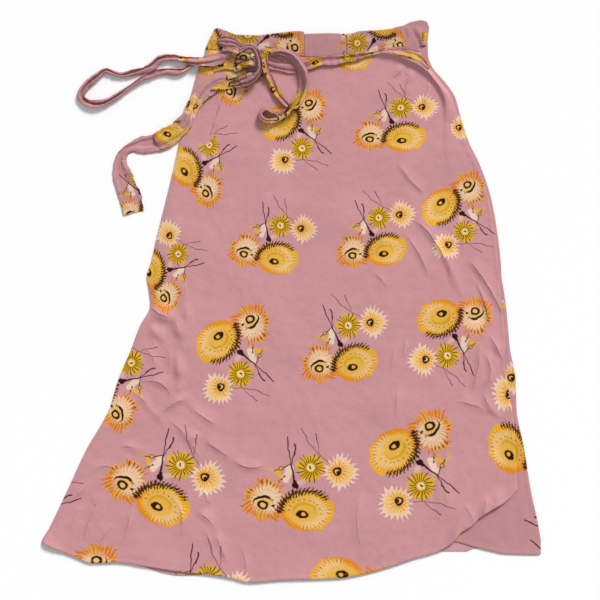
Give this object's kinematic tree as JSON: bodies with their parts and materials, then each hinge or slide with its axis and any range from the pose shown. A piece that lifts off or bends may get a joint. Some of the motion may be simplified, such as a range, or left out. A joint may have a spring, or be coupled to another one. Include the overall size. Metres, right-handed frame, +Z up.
{
  "type": "wrap skirt",
  "caption": "Flared knee-length wrap skirt in floral printed cloth, laid flat, with a shaped waistband and a self-fabric tie knotted at the side.",
  "frame": {"origin": "middle of the footprint, on the surface that the skirt lies on", "axes": "+Z up off the surface, +Y from the hem to the waistband, +X to the viewer's right"},
  "size_m": [0.698, 0.7858, 0.0181],
  "materials": {
    "skirt_cloth": "matt printed viscose crepe, dusty pink ground with yellow, cream and maroon flowers",
    "waistband_cloth": "the same cloth doubled, pressed and topstitched",
    "tie_cloth": "the same cloth as a soft crumpled strap"
  },
  "bodies": {
    "root": {"back_panel": "skirt_cloth", "front_under_panel": "skirt_cloth", "front_over_panel": "skirt_cloth", "waistband_back": "waistband_cloth", "waistband_under": "waistband_cloth", "waistband_left": "waistband_cloth", "waistband_mid": "waistband_cloth", "waistband_right": "waistband_cloth", "tie_run": "tie_cloth", "tie_loop_upper": "tie_cloth", "tie_loop_lower": "tie_cloth", "tie_tail": "tie_cloth", "tie_bow": "tie_cloth", "tie_bow_return": "tie_cloth", "tie_knot": "tie_cloth"}
  },
  "joints": []
}
